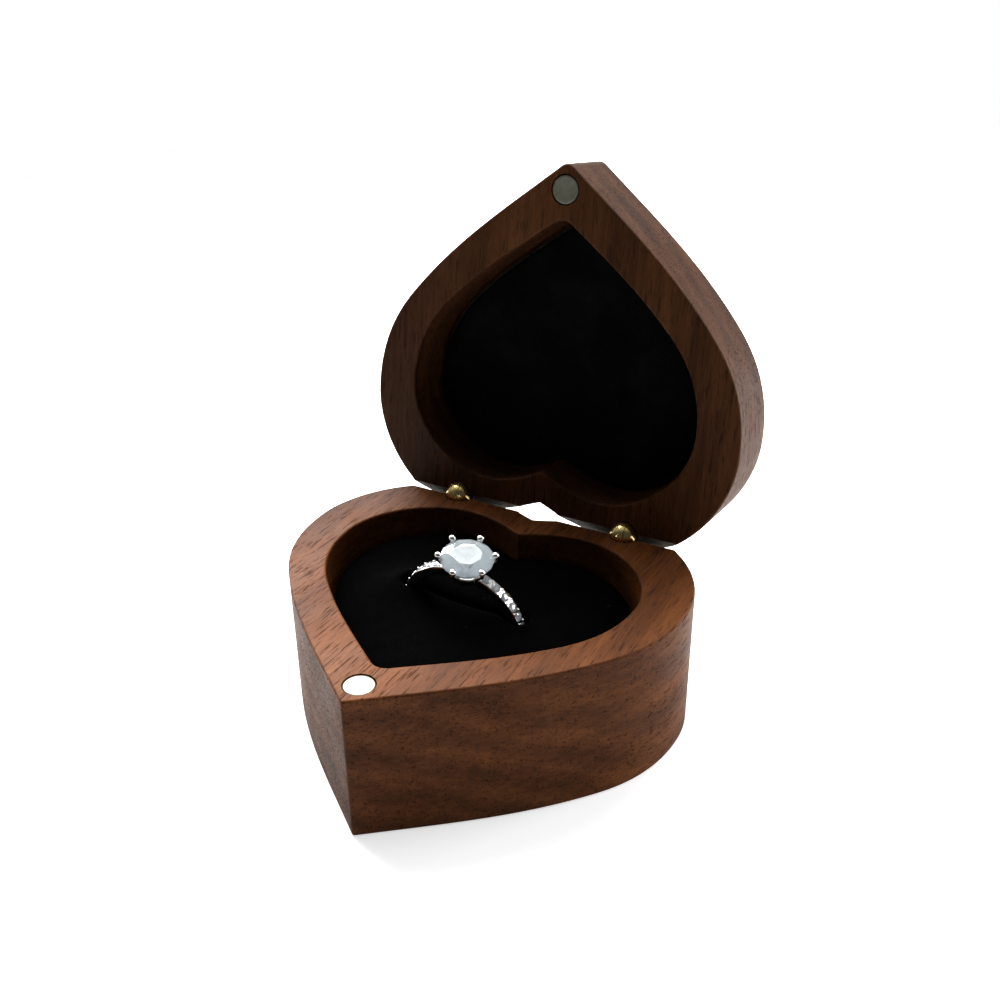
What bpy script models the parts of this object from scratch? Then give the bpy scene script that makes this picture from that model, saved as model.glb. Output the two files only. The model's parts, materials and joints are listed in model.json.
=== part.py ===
"""Heart-shaped walnut ring box with a hinged lid, a velvet cushion and a ring seated in it.

The box is modelled standing open on its base. X runs along the hinge axis, -Y points to the
heart's tip, +Z is up, and the origin is the centre of the base's underside.
Lengths below are in millimetres and are turned into metres where the geometry is made.
"""
import math

import bmesh
import bpy
from mathutils import Matrix, Vector

MM = 0.001

# Box
BASE_HEIGHT = 21.6
LID_HEIGHT = 11.9
BASE_FLOOR = 3.0
LID_TOP = 2.4
EDGE_ROUND = 0.35
PARTING_GAP = 0.3
LID_OPEN_DEG = 99.0
OVERSHOOT = 5.0
CUTTER_REACH = 60.0

# Heart outlines, right half from tip to cleft: x, y and the direction of travel in degrees,
# which at the tip and the cleft is the direction in which the outline leaves the point.
# The left half mirrors them. The cavity's tip is rounded to a radius of 2.4, the lid's to 1.5.
OUTER_HEART = [(0.0, -27.74, 38.3), (24.5, -5.9, 50.9), (30.0, 9.9, 90.0), (13.9, 27.74, 180.0),
               (0.0, 23.2, 160.0)]
CAVITY_HEART = [(0.0, -19.51, 0.0), (1.43, -19.04, 36.5), (18.2, -5.2, 46.9), (23.3, 7.8, 90.0),
                (9.7, 21.0, 180.0), (0.0, 18.1, 153.0)]
LID_HEART = [(0.0, -27.33, 0.0), (0.93, -27.01, 38.3)] + OUTER_HEART[1:]
HANDLE_SHARE = 0.36
CURVE_STEPS = 9
CAVITY_CENTRE_Y = 2.0

# Hinges: two barrels of 4 mm sunk in the wood, with a three-leaf knuckle
HINGE_X = 14.2
HINGE_Y = 24.9
HINGE_Z = BASE_HEIGHT + PARTING_GAP / 2
BARREL_RADIUS = 2.0
BARREL_CLEARANCE = 0.2
BARREL_BASE_DEPTH = 10.0
BARREL_LID_DEPTH = 8.5
TONGUE_HALF = 0.55
FORK_HALF_GAP = 0.75
SHOULDER_DROP = 2.25
PIN_RADIUS = 0.45
PIN_CLEARANCE = 0.1
PIN_HALF_LENGTH = 1.7
PIN_ROUND = 0.12
CHAMFER_DEG = 45.0
CHAMFER_LEAD = 0.5
BARREL_CHAMFER_SETBACK = 0.12

# Magnets
MAGNET_RADIUS = 2.05
MAGNET_THICKNESS = 2.0
MAGNET_Y = -23.8
MAGNET_CLEARANCE = 0.2
MAGNET_RECESS = 0.1
MAGNET_ROUND = 0.15
FIT_GAP = 0.3

# Cushion in the base and lining in the lid
CUSHION_TOP = BASE_HEIGHT - 3.2
CUSHION_SCALE = 0.98
COVER_INNER_SCALE = 0.94
VELVET_THICKNESS = 0.8
CARD_THICKNESS = 1.0
CARD_SCALE = 0.975
FOAM_SCALE = 0.925
LINING_THICKNESS = 1.0
LID_CARD_THICKNESS = 0.6

# Ring, in its own frame: centre of the finger hole, Z to the stone, Y across the band
RING_CENTRE = (-0.42, 2.57, 15.8)
RING_LEAN_FORWARD_DEG = 9.9
RING_LEAN_RIGHT_DEG = 9.0
RING_INNER_RADIUS = 8.0
RING_OUTER_RADIUS = 9.5
BAND_HALF_WIDTH = 0.9
BAND_ROUND = 0.3
BAND_STEPS = 72
SLOT_CLEARANCE = 0.35
HEAD_CUP_RADIUS = 2.0
HEAD_CUP = [(HEAD_CUP_RADIUS, 9.5), (HEAD_CUP_RADIUS, 8.15), (1.3, 8.05), (1.3, 9.5)]
HEAD_GAP = 0.35
HEAD_TOP = 12.0
PRONG_COUNT = 6
PRONG_FIRST_DEG = 30.0
PRONG_RADIUS = 0.34
PRONG_BEAD_RADIUS = 0.5
RAIL_Z = 9.8
RAIL_HALF_WIDTH = 0.25
RAIL_HALF_HEIGHT = 0.2
PRONG_FOOT = (1.75, 9.15)
PRONG_KNEE = (4.02, 11.3)
PRONG_TIP = (3.9, 12.0)
STONE_RADIUS = 3.75
STONE_GIRDLE_Z = 11.55
STONE_CLEARANCE = 0.12
SIDE_STONE_RADIUS = 0.68
SEAT_CLEARANCE = 0.08
SEAT_DEPTH = 0.7
SIDE_STONE_COUNT = 6
SIDE_STONE_FIRST_DEG = 71.0
SIDE_STONE_PITCH_DEG = 10.8


# ---------------------------------------------------------------- scene and collections

def clear_scene():
    for old in list(bpy.data.objects):
        bpy.data.objects.remove(old, do_unlink=True)


def new_collection(name):
    collection = bpy.data.collections.new(name)
    bpy.context.scene.collection.children.link(collection)
    return collection


clear_scene()
PARTS = new_collection("ring_box")
CUTTERS = new_collection("cutters")
CUTTERS.hide_render = True


def material(name, colour, roughness, metallic=0.0, transmission=0.0):
    made = bpy.data.materials.new(name)
    made.use_nodes = True
    shader = made.node_tree.nodes["Principled BSDF"]
    shader.inputs["Base Color"].default_value = (*colour, 1.0)
    shader.inputs["Roughness"].default_value = roughness
    shader.inputs["Metallic"].default_value = metallic
    shader.inputs["Transmission Weight"].default_value = transmission
    return made


WALNUT = material("walnut", (0.16, 0.075, 0.04), 0.5)
BRASS = material("brass", (0.75, 0.58, 0.25), 0.28, 1.0)
MAGNET = material("nickel_magnet", (0.72, 0.71, 0.68), 0.22, 1.0)
VELVET = material("black_velvet", (0.006, 0.006, 0.007), 0.95)
FOAM = material("foam", (0.05, 0.05, 0.055), 0.9)
CARD = material("card", (0.02, 0.02, 0.02), 0.8)
GOLD = material("white_gold", (0.8, 0.79, 0.77), 0.15, 1.0)
GEM = material("clear_stone", (0.95, 0.97, 1.0), 0.0, 0.0, 1.0)


# ---------------------------------------------------------------- mesh helpers

def link(obj, collection):
    for holder in list(obj.users_collection):
        holder.objects.unlink(obj)
    collection.objects.link(obj)
    return obj


def object_from_bmesh(name, bm, collection=CUTTERS):
    bmesh.ops.recalc_face_normals(bm, faces=bm.faces)
    mesh = bpy.data.meshes.new(name)
    bm.to_mesh(mesh)
    bm.free()
    return link_new(name, mesh, collection)


def link_new(name, mesh, collection):
    obj = bpy.data.objects.new(name, mesh)
    collection.objects.link(obj)
    if collection is CUTTERS:
        obj.hide_render = True
        obj.display_type = "WIRE"
    return obj


def to_mesh(obj, collection=CUTTERS):
    """The evaluated object as a welded mesh object of its own; the original is removed."""
    graph = bpy.context.evaluated_depsgraph_get()
    mesh = bpy.data.meshes.new_from_object(obj.evaluated_get(graph))
    name, matrix = obj.name, obj.matrix_world.copy()
    bpy.data.objects.remove(obj, do_unlink=True)
    bm = bmesh.new()
    bm.from_mesh(mesh)
    bmesh.ops.remove_doubles(bm, verts=bm.verts, dist=1e-6)
    bm.transform(matrix)
    bmesh.ops.recalc_face_normals(bm, faces=bm.faces)
    bm.to_mesh(mesh)
    bm.free()
    return link_new(name, mesh, collection)


def boolean(target, cutter, operation="DIFFERENCE"):
    """Cuts or joins cutter into target and removes the cutter."""
    modifier = target.modifiers.new("boolean", "BOOLEAN")
    modifier.operation = operation
    modifier.solver = "EXACT"
    modifier.object = cutter
    bpy.context.view_layer.update()
    result = to_mesh(target)
    bpy.data.objects.remove(cutter, do_unlink=True)
    return result


def bevel(obj, width, angle_deg=40.0, segments=2):
    modifier = obj.modifiers.new("edge rounding", "BEVEL")
    modifier.width = width * MM
    modifier.segments = segments
    modifier.limit_method = "ANGLE"
    modifier.angle_limit = math.radians(angle_deg)
    bpy.context.view_layer.update()
    return to_mesh(obj)


def cylinder(name, radius, low, high, sides=32):
    """A closed cylinder along Z from low to high."""
    bm = bmesh.new()
    bmesh.ops.create_cone(bm, cap_ends=True, segments=sides, radius1=radius * MM, radius2=radius * MM,
                          depth=(high - low) * MM)
    bmesh.ops.translate(bm, verts=bm.verts, vec=(0, 0, (high + low) / 2 * MM))
    return object_from_bmesh(name, bm)


def sphere(name, radius, around=32, up=16):
    bm = bmesh.new()
    bmesh.ops.create_uvsphere(bm, u_segments=around, v_segments=up, radius=radius * MM)
    return object_from_bmesh(name, bm)


def box(name, low, high):
    """A closed box between two corners."""
    bm = bmesh.new()
    bmesh.ops.create_cube(bm, size=1.0)
    size = [(b - a) * MM for a, b in zip(low, high)]
    middle = [(b + a) / 2 * MM for a, b in zip(low, high)]
    bmesh.ops.scale(bm, verts=bm.verts, vec=size)
    bmesh.ops.translate(bm, verts=bm.verts, vec=middle)
    return object_from_bmesh(name, bm)


def place(obj, matrix):
    """Applies a transform given in millimetres to the object's mesh."""
    scaled = matrix.copy()
    scaled.translation = matrix.translation * MM
    obj.data.transform(scaled)
    return obj


def finish(obj, name, finish_material, origin=None, parent=None, smooth_deg=35.0):
    """Names a finished sub-part, gives it its material and sets its origin."""
    obj.name = name
    obj.data.name = name
    obj.data.materials.clear()
    obj.data.materials.append(finish_material)
    obj.hide_render = False
    obj.display_type = "TEXTURED"
    obj.data.shade_smooth()
    obj.data.set_sharp_from_angle(angle=math.radians(smooth_deg))
    link(obj, PARTS)
    if origin is not None:
        point = Vector(origin) * MM
        obj.data.transform(Matrix.Translation(-point))
        obj.location = point
    if parent is not None:
        bpy.context.view_layer.update()
        obj.parent = parent
        obj.matrix_parent_inverse = parent.matrix_world.inverted()
    return obj


# ---------------------------------------------------------------- heart solids

def heart_solid(name, nodes, low, high, scale=1.0):
    """A flat heart outline made solid between two heights, scaled about the cavity's centre."""
    half = [(x * scale, CAVITY_CENTRE_Y + (y - CAVITY_CENTRE_Y) * scale, a) for x, y, a in nodes]
    mirrored = [(-x, y, -a) for x, y, a in reversed(half[1:-1])]
    loop = half + mirrored
    curve = bpy.data.curves.new(name, "CURVE")
    curve.dimensions = "2D"
    curve.fill_mode = "BOTH"
    curve.resolution_u = CURVE_STEPS
    curve.extrude = (high - low) / 2 * MM
    spline = curve.splines.new("BEZIER")
    spline.bezier_points.add(len(loop) - 1)
    spline.use_cyclic_u = True
    for index, (x, y, angle) in enumerate(loop):
        point = spline.bezier_points[index]
        here = Vector((x, y, 0))
        before = Vector((*loop[index - 1][:2], 0))
        after = Vector((*loop[(index + 1) % len(loop)][:2], 0))
        out_dir = Vector((math.cos(math.radians(angle)), math.sin(math.radians(angle)), 0))
        in_dir = Vector((-out_dir.x, out_dir.y, 0)) if x == 0.0 else -out_dir
        point.handle_left_type = point.handle_right_type = "FREE"
        point.co = here * MM
        point.handle_right = (here + out_dir * (after - here).length * HANDLE_SHARE) * MM
        point.handle_left = (here + in_dir * (before - here).length * HANDLE_SHARE) * MM
    obj = link_new(name, curve, CUTTERS)
    obj.location.z = (high + low) / 2 * MM
    bpy.context.view_layer.update()
    return to_mesh(obj)


def chamfer_cutter(name, setback=0.0):
    """Everything behind the base's 45 degree back chamfer, as a large box turned about X."""
    lead = CHAMFER_LEAD + setback / math.sin(math.radians(CHAMFER_DEG))
    cutter = box(name, (-CUTTER_REACH, 0, 0), (CUTTER_REACH, CUTTER_REACH, CUTTER_REACH))
    cutter = place(cutter, Matrix.Rotation(math.radians(-CHAMFER_DEG), 4, "X"))
    return place(cutter, Matrix.Translation((0, HINGE_Y - lead, BASE_HEIGHT)))


def mirror_to_lid(obj):
    """Mirrors a base-side shape across the parting plane to make the lid-side one, lid closed."""
    obj.data.transform(Matrix.Translation((0, 0, -HINGE_Z * MM)))
    obj.data.transform(Matrix.Diagonal((1.0, 1.0, -1.0, 1.0)))
    obj.data.transform(Matrix.Translation((0, 0, HINGE_Z * MM)))
    obj.data.flip_normals()
    return obj


def hinge_point(side):
    return Vector((side * HINGE_X, HINGE_Y, HINGE_Z))


def wood_block(name, outline, height, cavity_floor, barrel_depth):
    """One half of the box: heart block, cavity, magnet pocket, hinge holes and back chamfer.

    It is made in the base's place with its mating face up at BASE_HEIGHT."""
    bottom = BASE_HEIGHT - height
    block = heart_solid(name, outline, bottom, BASE_HEIGHT)
    block = boolean(block, heart_solid("cavity", CAVITY_HEART, cavity_floor, BASE_HEIGHT + OVERSHOOT))
    pocket_floor = BASE_HEIGHT - MAGNET_RECESS - MAGNET_THICKNESS - FIT_GAP
    pocket = cylinder("pocket", MAGNET_RADIUS + MAGNET_CLEARANCE, pocket_floor, BASE_HEIGHT + OVERSHOOT)
    block = boolean(block, place(pocket, Matrix.Translation((0, MAGNET_Y, 0))))
    for side in (-1, 1):
        hole = cylinder("hole", BARREL_RADIUS + BARREL_CLEARANCE, -barrel_depth - FIT_GAP, OVERSHOOT)
        block = boolean(block, place(hole, Matrix.Translation(hinge_point(side))))
    block = boolean(block, chamfer_cutter("back chamfer"))
    return ease_edges(block, bottom)


def ease_edges(block, bottom):
    """Rounds the wood's sharp edges: the underside's outline, both outlines of the mating face
    and the tip. Drilled edges stay crisp."""
    def level(vert, height):
        return abs(vert.co.z / MM - height) < 0.01

    bm = bmesh.new()
    bm.from_mesh(block.data)
    eased = []
    for edge in bm.edges:
        middle = (edge.verts[0].co + edge.verts[1].co) / 2 / MM
        flat = any(all(level(v, z) for v in edge.verts) for z in (bottom, BASE_HEIGHT))
        tip = all(abs(v.co.x) < 1e-6 and v.co.y / MM < OUTER_HEART[0][1] + 0.01 for v in edge.verts)
        drilled = (middle - Vector((0, MAGNET_Y, BASE_HEIGHT))).length < MAGNET_RADIUS + 0.5
        for side in (-1, 1):
            drilled = drilled or (middle - hinge_point(side)).length < BARREL_RADIUS + 0.8
        sharp = len(edge.link_faces) == 2 and edge.calc_face_angle() > 1.0
        if sharp and (flat or tip) and not drilled:
            eased.append(edge)
    bmesh.ops.bevel(bm, geom=eased, offset=EDGE_ROUND * MM, segments=2, profile=0.5, affect="EDGES")
    bm.to_mesh(block.data)
    bm.free()
    return block


# ---------------------------------------------------------------- hinge pieces

def barrel_blank(depth):
    """A sunk barrel with a ball-shaped knuckle centred on the hinge axis, at the origin."""
    blank = cylinder("barrel", BARREL_RADIUS, -depth, 0)
    setback = BARREL_CHAMFER_SETBACK
    cutter = place(chamfer_cutter("barrel chamfer", setback), Matrix.Translation(-hinge_point(0)))
    blank = boolean(blank, cutter)
    ball = sphere("ball", BARREL_RADIUS)
    return boolean(blank, ball, "UNION")


def pin_hole():
    hole = cylinder("pin hole", PIN_RADIUS + PIN_CLEARANCE, -OVERSHOOT, OVERSHOOT, 16)
    return place(hole, Matrix.Rotation(math.radians(90), 4, "Y"))


def fork_barrel(side):
    """The base-side barrel: two ears with a slot between them for the tongue."""
    body = barrel_blank(BARREL_BASE_DEPTH)
    slot = box("slot", (-FORK_HALF_GAP, -OVERSHOOT, -SHOULDER_DROP), (FORK_HALF_GAP, OVERSHOOT, OVERSHOOT))
    body = boolean(body, slot)
    body = boolean(body, pin_hole())
    return place(body, Matrix.Translation(hinge_point(side)))


def tongue_barrel(side):
    """The lid-side barrel with one tongue, made in the closed lid's place."""
    body = barrel_blank(BARREL_LID_DEPTH)
    for edge in (-1, 1):
        low, high = sorted((edge * TONGUE_HALF, edge * OVERSHOOT))
        relief = box("relief", (low, -OVERSHOOT, -SHOULDER_DROP), (high, OVERSHOOT, OVERSHOOT))
        body = boolean(body, relief)
    body = boolean(body, pin_hole())
    return mirror_to_lid(place(body, Matrix.Translation(hinge_point(side))))


def hinge_pin(side):
    pin = cylinder("pin", PIN_RADIUS, -PIN_HALF_LENGTH, PIN_HALF_LENGTH, 16)
    pin = place(pin, Matrix.Rotation(math.radians(90), 4, "Y"))
    pin = bevel(pin, PIN_ROUND, 40.0, 1)
    return place(pin, Matrix.Translation(hinge_point(side)))


def magnet():
    """A disc magnet just below the base's mating face."""
    top = BASE_HEIGHT - MAGNET_RECESS
    disc = cylinder("magnet", MAGNET_RADIUS, top - MAGNET_THICKNESS, top, 40)
    disc = bevel(disc, MAGNET_ROUND, 40.0, 2)
    return place(disc, Matrix.Translation((0, MAGNET_Y, 0)))


# ---------------------------------------------------------------- ring

def ring_matrix():
    lean = Matrix.Rotation(math.radians(RING_LEAN_FORWARD_DEG), 4, "X")
    tilt = Matrix.Rotation(math.radians(RING_LEAN_RIGHT_DEG), 4, "Y")
    return Matrix.Translation(RING_CENTRE) @ lean @ tilt


def turned(name, profile, steps=32, axis="Z"):
    """A closed profile of (radius, height) points turned about Z or Y."""
    bm = bmesh.new()
    points = [bm.verts.new((r * MM, 0, z * MM)) for r, z in profile]
    for index, vert in enumerate(points):
        bm.edges.new((vert, points[(index + 1) % len(points)]))
    mesh = bpy.data.meshes.new(name)
    bm.to_mesh(mesh)
    bm.free()
    obj = link_new(name, mesh, CUTTERS)
    screw = obj.modifiers.new("turning", "SCREW")
    screw.axis = "Z"
    screw.steps = steps
    screw.render_steps = steps
    screw.use_merge_vertices = True
    screw.merge_threshold = 0.00001
    bpy.context.view_layer.update()
    obj = to_mesh(obj)
    if axis == "Y":
        obj = place(obj, Matrix.Rotation(math.radians(90), 4, "X"))
    return obj


def side_stone_angles():
    return [SIDE_STONE_FIRST_DEG - SIDE_STONE_PITCH_DEG * k for k in range(SIDE_STONE_COUNT)]


def shoulder_matrix(side, angle_deg):
    """The frame of a seat on the band's outside: Z points outward at this height angle."""
    turn = side * math.radians(90.0 - angle_deg)
    return Matrix.Rotation(turn, 4, "Y") @ Matrix.Translation((0, 0, RING_OUTER_RADIUS))


def ring_shank():
    """The band, open at the top where the head stands, with a row of seats on each shoulder."""
    w, inner, outer = BAND_HALF_WIDTH, RING_INNER_RADIUS, RING_OUTER_RADIUS
    soft = BAND_ROUND
    profile = [(outer, w - soft), (outer, soft - w), (outer - soft, -w), (inner + soft, -w),
               (inner, soft - w), (inner, w - soft), (inner + soft, w), (outer - soft, w)]
    band = turned("band", profile, BAND_STEPS, "Y")
    gap = cylinder("head gap", HEAD_CUP_RADIUS + HEAD_GAP, 0, HEAD_TOP, 24)
    band = boolean(band, gap)
    for side in (-1, 1):
        for angle in side_stone_angles():
            seat = cylinder("seat", SIDE_STONE_RADIUS + SEAT_CLEARANCE, -SEAT_DEPTH, SEAT_DEPTH, 12)
            band = boolean(band, place(seat, shoulder_matrix(side, angle)))
    return place(band, ring_matrix())


def wire(name, points, radius):
    """A thin round wire through points given in millimetres, as a welded mesh."""
    curve = bpy.data.curves.new(name, "CURVE")
    curve.dimensions = "3D"
    curve.bevel_depth = radius * MM
    curve.bevel_resolution = 2
    curve.use_fill_caps = True
    spline = curve.splines.new("POLY")
    spline.points.add(len(points) - 1)
    for target, point in zip(spline.points, points):
        target.co = (*(Vector(point) * MM), 1.0)
    obj = link_new(name, curve, CUTTERS)
    bpy.context.view_layer.update()
    return to_mesh(obj)


def ring_prong(turn_deg):
    """One prong: a bent wire rising from the cup, with a round bead over the stone's edge."""
    points = [(r, 0, z) for r, z in (PRONG_FOOT, PRONG_KNEE, PRONG_TIP)]
    prong = wire("prong", points, PRONG_RADIUS)
    bead = place(sphere("bead", PRONG_BEAD_RADIUS, 12, 8), Matrix.Translation(points[-1]))
    prong = boolean(prong, bead, "UNION")
    return place(prong, Matrix.Rotation(math.radians(turn_deg), 4, "Z"))


def ring_head():
    """A basket of six prongs on a cup, with one rail ring, as one body notched for the stone."""
    head = turned("cup", HEAD_CUP, 24)
    for k in range(PRONG_COUNT):
        head = boolean(head, ring_prong(PRONG_FIRST_DEG + k * 360 / PRONG_COUNT), "UNION")
    (foot_r, foot_z), (knee_r, knee_z) = PRONG_FOOT, PRONG_KNEE
    rail_r = foot_r + (RAIL_Z - foot_z) * (knee_r - foot_r) / (knee_z - foot_z)
    inner, outer = rail_r - RAIL_HALF_WIDTH, rail_r + RAIL_HALF_WIDTH
    low, high = RAIL_Z - RAIL_HALF_HEIGHT, RAIL_Z + RAIL_HALF_HEIGHT
    rail = turned("rail", [(outer, high), (outer, low), (inner, low), (inner, high)], 24)
    head = boolean(head, rail, "UNION")
    notch = brilliant("notch", STONE_RADIUS + STONE_CLEARANCE, 16)
    head = boolean(head, place(notch, Matrix.Translation((0, 0, STONE_GIRDLE_Z + STONE_CLEARANCE / 2))))
    return place(head, ring_matrix())


def brilliant(name, radius, sides, table_share=0.56, crown=0.11, girdle=0.03, pavilion=0.43):
    """A round brilliant with its girdle's top at Z 0, as the hull of its table, girdle and culet.

    The table is a share of the girdle's radius, the heights are shares of its width."""
    width = 2 * radius
    girdle_low = -girdle * width
    star_share, star_height = 0.82, 0.56
    rings = [(table_share * radius, crown * width, 0.0),
             (star_share * radius, crown * width * star_height, 0.5),
             (radius, 0.0, 0.0), (radius, girdle_low, 0.0)]
    bm = bmesh.new()
    for r, z, shift in rings:
        for index in range(sides):
            turn = 2 * math.pi * (index + shift) / sides
            bm.verts.new((r * MM * math.cos(turn), r * MM * math.sin(turn), z * MM))
    bm.verts.new((0, 0, (girdle_low - pavilion * width) * MM))
    bmesh.ops.convex_hull(bm, input=bm.verts)
    return object_from_bmesh(name, bm)


# ---------------------------------------------------------------- soft parts

def ring_slot(name, extra):
    """The slot that the ring sits in, open upwards and leaning with the ring."""
    reach = RING_OUTER_RADIUS + SLOT_CLEARANCE + extra
    half = BAND_HALF_WIDTH + SLOT_CLEARANCE + extra
    slot = box(name, (-reach, -half, -reach), (reach, half, CUTTER_REACH))
    return place(slot, ring_matrix())


def cushion_cover():
    low, high = BASE_FLOOR + CARD_THICKNESS + 2 * FIT_GAP, CUSHION_TOP
    cover = heart_solid("cover", CAVITY_HEART, low, high, CUSHION_SCALE)
    inside = heart_solid("inside", CAVITY_HEART, low - OVERSHOOT, high - VELVET_THICKNESS, COVER_INNER_SCALE)
    inside = boolean(inside, ring_slot("lips", VELVET_THICKNESS))
    cover = boolean(cover, inside)
    return boolean(cover, ring_slot("slit", 0.0))


def cushion_foam():
    low = BASE_FLOOR + CARD_THICKNESS + 2 * FIT_GAP
    high = CUSHION_TOP - VELVET_THICKNESS - FIT_GAP
    foam = heart_solid("foam", CAVITY_HEART, low, high, FOAM_SCALE)
    return boolean(foam, ring_slot("foam slot", VELVET_THICKNESS + FIT_GAP))


def cushion_card():
    low = BASE_FLOOR + FIT_GAP
    return heart_solid("card", CAVITY_HEART, low, low + CARD_THICKNESS, CARD_SCALE)


def lid_card():
    floor = BASE_HEIGHT - (LID_HEIGHT - LID_TOP)
    low = floor + FIT_GAP
    return heart_solid("lid card", CAVITY_HEART, low, low + LID_CARD_THICKNESS, CARD_SCALE)


def lid_lining():
    low = BASE_HEIGHT - (LID_HEIGHT - LID_TOP) + FIT_GAP + LID_CARD_THICKNESS + FIT_GAP
    return heart_solid("lining", CAVITY_HEART, low, low + LINING_THICKNESS, CUSHION_SCALE)


# ---------------------------------------------------------------- assembly

def empty(name, point):
    holder = bpy.data.objects.new(name, None)
    holder.empty_display_size = 0.01
    holder.location = Vector(point) * MM
    PARTS.objects.link(holder)
    bpy.context.view_layer.update()
    return holder


def main():
    axis = empty("lid_hinge_axis", hinge_point(0))
    base = wood_block("base", OUTER_HEART, BASE_HEIGHT, BASE_FLOOR, BARREL_BASE_DEPTH)
    finish(base, "base_body", WALNUT)
    finish(magnet(), "base_magnet", MAGNET)
    for side, label in ((-1, "left"), (1, "right")):
        finish(fork_barrel(side), label + "_hinge_base_barrel", BRASS, hinge_point(side))
        finish(hinge_pin(side), label + "_hinge_pin", BRASS, hinge_point(side))
    finish(cushion_card(), "cushion_card", CARD)
    finish(cushion_foam(), "cushion_foam", FOAM)
    finish(cushion_cover(), "cushion_cover", VELVET)

    floor = BASE_HEIGHT - (LID_HEIGHT - LID_TOP)
    lid = wood_block("lid", LID_HEART, LID_HEIGHT, floor, BARREL_LID_DEPTH)
    finish(mirror_to_lid(lid), "lid_body", WALNUT, hinge_point(0), axis)
    finish(mirror_to_lid(magnet()), "lid_magnet", MAGNET, hinge_point(0), axis)
    finish(mirror_to_lid(lid_card()), "lid_lining_card", CARD, hinge_point(0), axis)
    finish(mirror_to_lid(lid_lining()), "lid_lining", VELVET, hinge_point(0), axis)
    for side, label in ((-1, "left"), (1, "right")):
        finish(tongue_barrel(side), label + "_hinge_lid_barrel", BRASS, hinge_point(0), axis)
    axis.rotation_euler.x = -math.radians(LID_OPEN_DEG)

    finish(ring_shank(), "ring_shank", GOLD)
    finish(ring_head(), "ring_head", GOLD)
    stone = place(brilliant("stone", STONE_RADIUS, 16), Matrix.Translation((0, 0, STONE_GIRDLE_Z)))
    finish(place(stone, ring_matrix()), "centre_stone", GEM, smooth_deg=1.0)
    for side, label in ((-1, "left"), (1, "right")):
        for number, angle in enumerate(side_stone_angles(), 1):
            small = place(brilliant("small", SIDE_STONE_RADIUS, 8), shoulder_matrix(side, angle))
            finish(place(small, ring_matrix()), f"side_stone_{label}_{number}", GEM, smooth_deg=1.0)


main()
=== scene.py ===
"""Looks of the heart-shaped walnut ring box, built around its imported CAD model."""
import json
import math

import bmesh
import bpy
from mathutils import Matrix, Vector, noise


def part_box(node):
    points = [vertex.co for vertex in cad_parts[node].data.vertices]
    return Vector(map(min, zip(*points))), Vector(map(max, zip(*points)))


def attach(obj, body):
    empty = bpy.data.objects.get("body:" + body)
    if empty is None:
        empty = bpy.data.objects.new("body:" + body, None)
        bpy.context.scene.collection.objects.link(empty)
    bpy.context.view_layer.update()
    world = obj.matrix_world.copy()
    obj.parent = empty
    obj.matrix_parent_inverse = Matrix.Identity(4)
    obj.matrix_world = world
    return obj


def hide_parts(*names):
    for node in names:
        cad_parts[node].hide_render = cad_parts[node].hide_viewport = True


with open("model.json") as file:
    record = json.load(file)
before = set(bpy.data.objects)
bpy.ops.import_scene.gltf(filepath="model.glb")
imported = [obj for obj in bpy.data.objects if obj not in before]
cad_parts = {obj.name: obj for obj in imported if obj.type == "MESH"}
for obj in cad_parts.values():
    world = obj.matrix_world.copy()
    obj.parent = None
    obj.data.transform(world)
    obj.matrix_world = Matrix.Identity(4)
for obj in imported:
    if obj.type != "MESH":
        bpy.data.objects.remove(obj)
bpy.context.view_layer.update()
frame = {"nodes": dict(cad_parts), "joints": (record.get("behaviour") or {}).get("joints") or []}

MM = 0.001

# ------------------------------------------------------------ sizes shared with the CAD model, mm
OUTER_HEART = [(0.0, -27.74, 38.3), (24.5, -5.9, 50.9), (30.0, 9.9, 90.0), (13.9, 27.74, 180.0),
               (0.0, 23.2, 160.0)]
CAVITY_HEART = [(0.0, -19.51, 0.0), (1.43, -19.04, 36.5), (18.2, -5.2, 46.9), (23.3, 7.8, 90.0),
                (9.7, 21.0, 180.0), (0.0, 18.1, 153.0)]
LID_HEART = [(0.0, -27.33, 0.0), (0.93, -27.01, 38.3)] + OUTER_HEART[1:]
HANDLE_SHARE = 0.36
CAVITY_CENTRE_Y = 2.0
CURVE_STEPS = 30

HINGE = Vector(frame["joints"][0]["pos_m"]) / MM
LID_OPEN_DEG = frame["joints"][0]["range_deg"][1]
BASE_HEIGHT = round(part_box("base_body")[1].z / MM, 3)
LID_HEIGHT = 11.9
BASE_FLOOR = 3.0
LID_TOP = 2.4
EDGE_ROUND = 0.35
HINGE_X = 14.2

BARREL_RADIUS = 2.0
BARREL_CLEARANCE = 0.12
BARREL_BASE_DEPTH = 10.0
BARREL_LID_DEPTH = 8.5
TONGUE_HALF = 0.6
FORK_HALF_GAP = 0.7
SHOULDER_DROP = 2.25
PIN_RADIUS = 0.45
PIN_HALF_LENGTH = 1.7
CHAMFER_DEG = 45.0
CHAMFER_LEAD = 0.5
BARREL_CHAMFER_SETBACK = 0.12
BARREL_ROUND = 0.09
CUTTER_REACH = 60
OVERSHOOT = 5

MAGNET_RADIUS = 2.05
MAGNET_THICKNESS = 2.0
MAGNET_Y = -23.8
MAGNET_CLEARANCE = 0.14
MAGNET_RECESS = 0.1
POCKET_BELOW_MAGNET = 0.4
BORE_BELOW_BARREL = 0.3

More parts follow.
